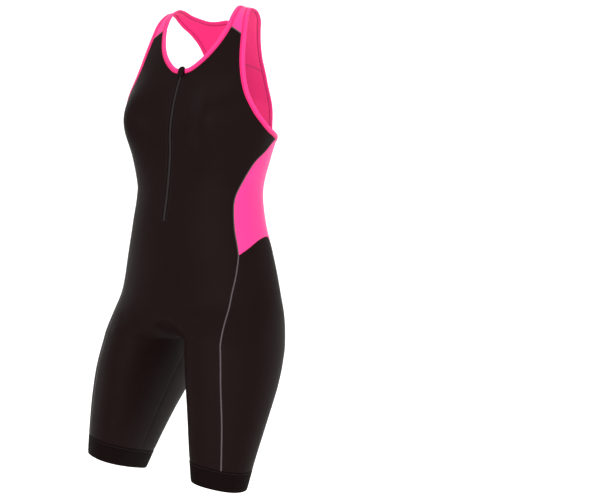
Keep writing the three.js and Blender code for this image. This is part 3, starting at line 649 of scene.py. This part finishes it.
# Textured polyester filament, soft and slightly hairy, so it looks dull grey with no shine.
grey_thread = thread_material("textured_polyester_thread_grey", "#564c4f", "#3b3336")
strap_seam = np.stack([np.linspace(NECK_FRONT[-1][0], ARMHOLE_FRONT[0][0], 12),
                       np.linspace(NECK_FRONT[-1][1], ARMHOLE_FRONT[0][1], 12)], -1)
side_runs = {
    "strap": strap_seam,
    "front_side": joined(front_seam, front_seam_leg),
    "back_side": joined(back_seam_top, back_seam_waist, back_seam_hip, back_seam_leg),
}
for side, hand in ((1, "left"), (-1, "right")):
    for name, knots in side_runs.items():
        stitches = new_object(f"flatlock_{name}_{hand}", *as_one(*flatlock(*on_body(knots, side))), None, 40)
        dress(stitches, grey_thread, "black_knit")
for name, knots in (("yoke", yoke_seam), ("arch", arch_seam)):
    half_points, half_out = on_body(knots, 1)
    points = np.concatenate([half_points, half_points[-2::-1] * [-1, 1, 1]])
    out = np.concatenate([half_out, half_out[-2::-1] * [-1, 1, 1]])
    stitches = new_object(f"flatlock_{name}", *as_one(*flatlock(points, out)), None, 40)
    dress(stitches, grey_thread, "black_knit")

# Bindings: a strip of bright stretch knit folded over the raw edges round the armholes and the neck, with the
# fold outside. A twin needle holds it, which leaves one shallow channel with small stitches beside the panel.
BINDING_WIDTH = 8.5 * MM
BINDING_THICK = 2.4 * MM
CHANNEL = 1.7 * MM
BINDING_STITCH = 2.4 * MM


def binding_profile(puff):
    """Folded strip seen from its end: flat faces that swell a little by puff, a round fold outside, and a
    channel pressed in on both faces, as a bell, where the stitches run."""
    turn = np.linspace(np.pi / 2, -np.pi / 2, 8)
    mid = -PANEL_WALL / 2
    half = BINDING_THICK / 2
    flat = np.linspace(-0.6 * MM, BINDING_WIDTH - half * 0.9, 12)
    swell = puff * np.sin(np.pi * np.clip((flat - CHANNEL) / (BINDING_WIDTH - CHANNEL), 0, 1))
    press = 0.75 * MM * np.exp(-(((flat - CHANNEL) / (0.8 * MM)) ** 2))
    edge = 0.35 * MM * np.exp(-(((flat + 0.6 * MM) / (0.7 * MM)) ** 2))
    top = np.stack([flat, mid + half + swell - press - edge], -1)
    fold = np.stack([BINDING_WIDTH - half * 0.9 + half * 0.9 * np.cos(turn), mid + half * np.sin(turn)], -1)[1:-1]
    under = np.stack([flat, mid - half - swell + press + edge], -1)[::-1]
    return np.concatenate([top, fold, under])


def binding_mesh(name, points, out, away, closed, node):
    """Binding carried along an edge, away from the panel, with its stitches in the channel of both faces."""
    profile = binding_profile(0.25 * MM) * [away, 1]
    strip, quads = outward_mesh(*carried(points, out, profile, closed))
    steps = np.linalg.norm(np.diff(points, axis=0), axis=1)
    along = np.concatenate([[0], np.cumsum(steps)])
    places = np.stack([np.repeat(along, len(profile)), np.tile(profile[:, 0] * away, len(points))], -1)
    piece = dress(new_object(name, strip, quads, places[quads], 60), pink_binding, "pink_binding", node)
    spots, up = evened(np.vstack([points, points[:1]]) if closed else points,
                       np.vstack([out, out[:1]]) if closed else out, BINDING_STITCH)
    faces = [thread_loops(spots + (BINDING_THICK / 2 - PANEL_WALL / 2 - 0.45 * MM) * up, up, 0.5 * MM, 1.9 * MM,
                          0.22 * MM, 0.25 * MM, away * CHANNEL),
             thread_loops(spots - (BINDING_THICK / 2 + PANEL_WALL / 2 - 0.45 * MM) * up, -up, 0.5 * MM, 1.9 * MM,
                          0.22 * MM, 0.25 * MM, -away * CHANNEL)]
    dress(new_object(f"{name}_stitches", *as_one(*faces), None, 40), pink_thread, "pink_binding")


def paint_channel_shade(material, colour):
    """Paints shade into the stitched channel as a darker base colour: full at its middle, none 1.9 mm to each side.
    """
    tree = material.node_tree
    shader = tree.nodes["Principled BSDF"]
    base = shader.inputs["Base Color"].links[0].from_socket
    uv = add_node(tree, "ShaderNodeUVMap", uv_map="cloth")
    parts = add_node(tree, "ShaderNodeSeparateXYZ", {"Vector": uv.outputs["UV"]})
    off = add_node(tree, "ShaderNodeMath", {0: parts.outputs["Y"]}, operation="SUBTRACT")
    off.inputs[1].default_value = 0.5 * CHANNEL
    size = add_node(tree, "ShaderNodeMath", {0: off.outputs["Value"]}, operation="ABSOLUTE")
    share = add_node(tree, "ShaderNodeMapRange", {"Value": size.outputs["Value"]}, From_Min=0.8 * MM,
                     From_Max=1.9 * MM, To_Min=0.9, To_Max=0.0, interpolation_type="SMOOTHSTEP")
    mixed = add_node(tree, "ShaderNodeMix", {"Factor": share.outputs["Result"]}, data_type="RGBA")
    tree.links.new(base, mixed.inputs[6])
    mixed.inputs[7].default_value = srgb(colour)
    tree.links.new(mixed.outputs[2], shader.inputs["Base Color"])


# Binding of a brushed tricot, a little bluer and brighter than the panels, with painted shade along the stitched
# channel where its thread runs.
pink_binding = knit_material("folded_tricot_binding_pink", "#ec2c79", "#df1f6c", 0.9 * MM, 0.55, 0.2, 0.3, "#ffb0d0",
                             0.4)
paint_channel_shade(pink_binding, "#c40f5a")
pink_thread = thread_material("twin_needle_thread_pink", "#d4145f", "#b31052")
arm_round = joined(armhole_front, seam_line(ARMHOLE_SIDE, SIDE_COLUMNS), armhole_back[::-1], armhole_strap[::-1])
for side, hand in ((1, "left"), (-1, "right")):
    points, out = on_body(arm_round[:-1], side)
    binding_mesh(f"armhole_binding_{hand}_fold", points, out, -side, True, f"armhole_binding_{hand}")
half_points, half_out = on_body(joined(neck_front, neck_strap), 1)
points = np.concatenate([half_points, half_points[-2::-1] * [-1, 1, 1]])
out = np.concatenate([half_out, half_out[-2::-1] * [-1, 1, 1]])
binding_mesh("neck_binding_fold", points, out, -1, False, "neck_binding")

# Front zip: a reverse coil zip in the slit. From outside the closed chain is a ribbed strip sunk between the
# panel edges; inside, the two nylon coils mesh, sewn to woven polyester tapes behind the front.
CHAIN_HALF = 2.1 * MM
TOOTH_PITCH = 1.4 * MM
TAPE_WIDTH = 9.5 * MM
TAPE_WALL = 0.8 * MM
TAPE_INNER = 1.2 * MM
TAPE_DEEP = 1.75 * MM
GARAGE_HALF = 6 * MM
GARAGE_ROUND = 2.6


def rows_at(knots, spacing):
    """Knots a spacing apart along the centre front, by the path's own length."""
    fine = np.stack([np.interp(np.linspace(0, 1, 800), np.linspace(0, 1, len(knots)), knots[:, k])
                     for k in (0, 1)], -1)
    path = body_points(fine[:, 0], fine[:, 1], 1)
    length = np.concatenate([[0], np.cumsum(np.linalg.norm(np.diff(path, axis=0), axis=1))])
    at = np.linspace(0, length[-1], int(round(length[-1] / spacing)) + 1)
    return np.stack([np.interp(at, length, fine[:, k]) for k in (0, 1)], -1)


def plain_material(name, colour, roughness, gloss, metallic, grain_size, relief):
    """Hard finish: noise of one grain size as bump of that relief, over a colour that is darker where it is low."""
    material, tree, shader = finish_material(name)
    place = add_node(tree, "ShaderNodeTexCoord")
    grain = add_node(tree, "ShaderNodeTexNoise", {"Vector": place.outputs["Object"]}, Scale=1 / grain_size, Detail=4)
    tint = add_node(tree, "ShaderNodeMix", {"Factor": grain.outputs["Fac"]}, data_type="RGBA")
    tint.inputs[6].default_value = [c * 0.7 for c in srgb(colour)[:3]] + [1]
    tint.inputs[7].default_value = srgb(colour)
    bump = add_node(tree, "ShaderNodeBump", {"Height": grain.outputs["Fac"]}, Strength=0.3, Distance=relief)
    tree.links.new(tint.outputs[2], shader.inputs["Base Color"])
    tree.links.new(bump.outputs["Normal"], shader.inputs["Normal"])
    shader.inputs["Roughness"].default_value = roughness
    shader.inputs["Specular IOR Level"].default_value = gloss
    shader.inputs["Metallic"].default_value = metallic
    return material


centre_knots = rows_at(np.array([(0, NECK_FRONT[0][1]), (0, ZIP_END_ROW)], float), TOOTH_PITCH / 4)
spine = body_points(centre_knots[:, 0], centre_knots[:, 1], 1)
spine_out = outward_at(centre_knots[:, 0], centre_knots[:, 1], 1)
spine_out[:, 0] = 0
spine_out /= np.linalg.norm(spine_out, axis=1, keepdims=True)
phase = np.cos(2 * np.pi * np.arange(len(spine)) / 4)
chain_across = np.linspace(-1, 1, 9)
chain_top = (0.62 * (1 - np.abs(chain_across) ** 3) - 0.15)[None] + 0.10 * phase[:, None] * (
    1 - chain_across**2)[None] - 0.22 * np.exp(-((chain_across / 0.14) ** 2))[None]
chain_profile = np.concatenate([
    np.stack([np.broadcast_to(chain_across * CHAIN_HALF, chain_top.shape), chain_top * MM], -1),
    np.stack([np.broadcast_to(chain_across[::-1] * CHAIN_HALF, chain_top.shape),
              np.full(chain_top.shape, -1.2 * MM)], -1)], axis=1)
# Nylon monofilament, dyed black in the mass: smooth, with a soft dull gloss along its ribs.
coil_nylon = plain_material("nylon_monofilament_coil_black", "#181110", 0.5, 0.17, 0, 2 * MM, 0.05 * MM)
chain_start = 18
chain = new_object("zip_chain_strip", *outward_mesh(*carried(
    spine[chain_start:], spine_out[chain_start:], chain_profile[chain_start:])), None, 60)
dress(chain, coil_nylon, "zip_coil", "zip_chain")

# The coils seen from inside: one bent loop a tooth on each side, meeting at the middle.
tooth_at = np.arange(chain_start + 2, len(spine) - 2, 4)
tooth_sides = []
for side in (1, -1):
    shift = 0 if side > 0 else 2
    at = np.minimum(tooth_at + shift, len(spine) - 1)
    tooth_sides.append(thread_loops(spine[at] - 2.3 * MM * spine_out[at], -spine_out[at], 2.6 * MM, 0, 0.34 * MM,
                                    0.55 * MM, side * 0.9 * MM))
teeth = new_object("zip_coil_teeth", *as_one(*tooth_sides), None, 40)
dress(teeth, coil_nylon, "zip_coil")

# Plain-woven polyester tape: flat and dull, with a fine square weave.
woven_tape = knit_material("woven_polyester_tape_black", "#0b0808", "#080606", 0.7 * MM, 0.8, 0.06, 0.03, "#5a4d49",
                           0.5)


def closed_sheet(outer, inner):
    """Closed shell between two grids of points that face each other, with walls round their four edges."""
    n, m = outer.shape[:2]
    index = np.arange(n * m).reshape(n, m)
    quads = np.stack([index[:-1, :-1], index[1:, :-1], index[1:, 1:], index[:-1, 1:]], -1).reshape(-1, 4)
    ring = np.concatenate([index[:, 0], index[-1, 1:], index[-2::-1, -1], index[0, -2:0:-1]])
    later = np.roll(ring, -1)
    walls = np.stack([later, ring, ring + n * m, later + n * m], -1)
    faces = np.concatenate([quads, quads[:, ::-1] + n * m, walls])
    return outward_mesh(np.concatenate([outer.reshape(-1, 3), inner.reshape(-1, 3)]), faces)


tape_knots = slit_edge(rows_at(np.array([(0, NECK_FRONT[0][1]), (0, ZIP_END_ROW)], float), 4 * MM))
for side, hand in ((1, "left"), (-1, "right")):
    edge = body_points(tape_knots[:, 0], tape_knots[:, 1], side)
    half = section_at(tape_knots[:, 1])[:, 1]
    share = np.linspace(0, 1, 7)[None, :]
    x = TAPE_INNER * (1 - share) + (ZIP_SLIT + TAPE_WIDTH) * share
    around = np.arcsin(x / half[:, None]) / np.pi
    row = np.repeat(tape_knots[:, 1:], 7, axis=1)
    grid = body_points(around, row, side) - outward_at(around, row, side) * TAPE_DEEP
    inner = grid - outward_at(around, row, side) * TAPE_WALL
    points, faces = closed_sheet(grid, inner)
    flat = np.stack([points[:, 0], points[:, 2]], -1)
    tape = dress(new_object(f"zip_tape_{hand}_woven", points, faces, flat[faces]), woven_tape, "zip_tape",
                 f"zip_tape_{hand}")

# Rows of black topstitching hold the tapes, one on each side of the slit.
black_thread = thread_material("twin_needle_thread_black", "#120c0b", "#0b0706")
tape_rows = []
for side in (1, -1):
    at = rows_at(np.array([(0, NECK_FRONT[0][1] + 0.15), (0, ZIP_END_ROW)], float), 2.4 * MM)
    half = section_at(at[:, 1])[:, 1]
    at[:, 0] = np.arcsin(6.2 * MM / half) / np.pi
    points, out = on_body(at, side)
    tape_rows.append(thread_loops(points, out, 0.5 * MM, 1.9 * MM, 0.2 * MM, 0.25 * MM))
dress(new_object("zip_topstitching", *as_one(*tape_rows), None, 40), black_thread, "black_knit")

# Two more rows of the same black topstitching, hardly seen: one across the seat, which dips to the middle and
# meets both side seams at the point of the pink panel, and one round the top of each hem band.
SEAT_STITCH = [(0.755, 11.62), (0.800, 11.80), (0.860, 11.96), (0.930, 12.04), (1, 12.06)]
seat_half, seat_out = on_body(seam_line(SEAT_STITCH, 60), 1)
seat_row = np.concatenate([seat_half, seat_half[-2::-1] * [-1, 1, 1]])
seat_out = np.concatenate([seat_out, seat_out[-2::-1] * [-1, 1, 1]])
dress(new_object("seat_topstitching", *as_one(thread_loops(
    *evened(seat_row, seat_out, 2.4 * MM), 0.5 * MM, 1.9 * MM, 0.22 * MM, 0.3 * MM)), None, 40), black_thread,
    "black_knit")
for side, hand in ((1, "left"), (-1, "right")):
    ring = np.stack([leg_round[:, 0], np.full(len(leg_round), HEM_ROW + 0.06)], -1)
    points, out = on_body(ring, side)
    dress(new_object(f"hem_topstitching_{hand}", *as_one(thread_loops(
        *evened(points + 0.2 * MM * out, out, 2.4 * MM), 0.5 * MM, 1.9 * MM, 0.22 * MM, 0.3 * MM)), None, 40),
        black_thread, "hem_elastic")

# Slider at the top of the chain, a die-cast body with a bevelled shield outline, dark lacquered.
slit_top = slit_edge(straight(0, NECK_FRONT[0][1], ZIP_END_ROW, 1))
top_edge = body_points(slit_top[:, 0], slit_top[:, 1], 1)[0] * [0, 1, 1]
zip_up = spine_out[0]
zip_down = spine[12] - spine[0]
zip_down /= np.linalg.norm(zip_down)
slider_along = np.array([-6, -5.4, -4, -1, 2, 4.5, 5.6, 6]) * MM
slider_half = np.array([1.3, 2.0, 2.5, 2.6, 2.5, 2.3, 1.9, 1.3]) * MM
slider_rise = np.array([0.8, 1.3, 1.6, 1.6, 1.6, 1.5, 1.2, 0.8]) * MM
turn = np.linspace(0, 2 * np.pi, 17)[:-1] + np.pi / 16
rounded = np.stack([np.sign(np.cos(turn)) * np.abs(np.cos(turn)) ** 0.45,
                    np.sign(np.sin(turn)) * np.abs(np.sin(turn)) ** 0.45], -1)
slider_points = top_edge + slider_along[:, None] * zip_down
slider_profile = rounded[None] * np.stack([slider_half, slider_rise], -1)[:, None]
slider_body = new_object("zip_slider_body", *outward_mesh(*carried(
    slider_points, np.repeat(zip_up[None], 8, axis=0), slider_profile)), None, 45)
# Die-cast zinc under black lacquer: dark, with a soft metal gloss on its bevels.
lacquered_zinc = plain_material("die_cast_zinc_lacquered_black", "#131315", 0.4, 0.4, 0.3, 3 * MM, 0.02 * MM)
dress(slider_body, lacquered_zinc, "zip_metal", "zip_slider")

# Garage: a small tab of black knit folded over the top of the zip, which keeps the slider off the skin.
fold = np.linspace(np.pi / 2, -np.pi / 2, 9)
garage_outer = np.concatenate([
    np.stack([np.linspace(7.2, -9.2, 13), np.full(13, 3.0)], -1),
    np.stack([-9.2 - 3.4 * np.cos(fold), -0.6 + 3.6 * np.sin(fold)], -1)[1:-1],
    np.stack([np.linspace(-9.2, 5, 11), np.full(11, -4.2)], -1)])
garage_ahead = np.gradient(garage_outer, axis=0)
garage_ahead /= np.linalg.norm(garage_ahead, axis=1, keepdims=True)
garage_inner = garage_outer - 0.9 * np.stack([garage_ahead[:, 1], -garage_ahead[:, 0]], -1)
garage_x = np.linspace(-1, 1, 15)
edge_drop = 0.5 * np.abs(garage_x) ** 6


def garage_sheet(line, sink):
    """The tab's face: its side line carried across x, with both long edges rounded down by sink and the corners
    of its top rounded by the cube of x."""
    inward = (garage_inner - garage_outer)[None] * (edge_drop * sink)[:, None, None]
    spots = line[None] + inward
    high = np.clip(-spots[..., :1] / 9.2, 0, 1.4) ** 3
    spots = spots + high * GARAGE_ROUND * (np.abs(garage_x) ** 3)[:, None, None] * np.array([1, 0])
    return (top_edge + (garage_x * GARAGE_HALF)[:, None, None] * np.array([1, 0, 0])
            + spots[..., :1] * MM * zip_down + spots[..., 1:] * MM * zip_up)


points, faces = closed_sheet(garage_sheet(garage_outer, 1), garage_sheet(garage_inner, -0.2))
flat = np.stack([points[:, 0], points[:, 2] + points[:, 1]], -1)
garage = dress(new_object("zip_garage_tab", points, faces, flat[faces], 60), black_knit, "black_knit", "zip_garage")

# Floor and backdrop: one pale sheet, flat under the suit and curved up behind it, and soft studio light
# from large panels. The suit hangs above the floor.
FLOOR_Z = -1.25
BACKDROP_DEPTH = 3.2
BEND_RADIUS = 1.2
STAGE_COLOUR = "#fbfbfb"
bend = np.linspace(0, math.pi / 2, 25)
profile = np.concatenate([
    [(-4, 0)],
    np.stack([BACKDROP_DEPTH + BEND_RADIUS * np.sin(bend), BEND_RADIUS * (1 - np.cos(bend))], -1),
    [(BACKDROP_DEPTH + BEND_RADIUS, 5)],
])
away = -np.array([math.sin(CAMERA_AZIMUTH), -math.cos(CAMERA_AZIMUTH)])
right = np.array([math.cos(CAMERA_AZIMUTH), math.sin(CAMERA_AZIMUTH)])
spots = np.array([np.concatenate([away * d + right * w, [FLOOR_Z + h]]) for d, h in profile for w in (-7, 7)])
strip = np.arange(len(profile) - 1)[:, None] * 2 + np.array([0, 1, 3, 2])
backdrop = new_object("backdrop", spots, strip, None, 180)
paper, tree, shader = finish_material("matt_backdrop_paper")
shader.inputs["Base Color"].default_value = srgb(STAGE_COLOUR)
shader.inputs["Roughness"].default_value = 0.9
shader.inputs["Emission Color"].default_value = (1, 1, 1, 1)
shader.inputs["Emission Strength"].default_value = 0.2
backdrop.data.materials.append(paper)
bpy.context.scene.view_settings.view_transform = "Standard"

LIGHTS = [
    ("key", (-1.6, -2.6, 1.2), 2.2, 28),
    ("fill", (2.8, -0.9, 0.4), 1.6, 22),
    ("front", (1.5, -2.3, 0.3), 1.2, 44),
    ("top", (0.2, 0.2, 2.4), 2.0, 20),
    ("back", (-1.2, 2.2, 0.6), 1.8, 18),
]
for name, place, size, power in LIGHTS:
    lamp = bpy.data.lights.new(name, "AREA")
    lamp.shape = "DISK"
    lamp.size = size
    lamp.energy = power
    light = bpy.data.objects.new(name, lamp)
    light.location = place
    light.rotation_euler = (CAMERA_TARGET - Vector(place)).to_track_quat("-Z", "Y").to_euler()
    bpy.context.scene.collection.objects.link(light)
world = bpy.data.worlds.new("studio")
world.use_nodes = True
world.node_tree.nodes["Background"].inputs["Color"].default_value = (1, 1, 1, 1)
world.node_tree.nodes["Background"].inputs["Strength"].default_value = 0.8
bpy.context.scene.world = world
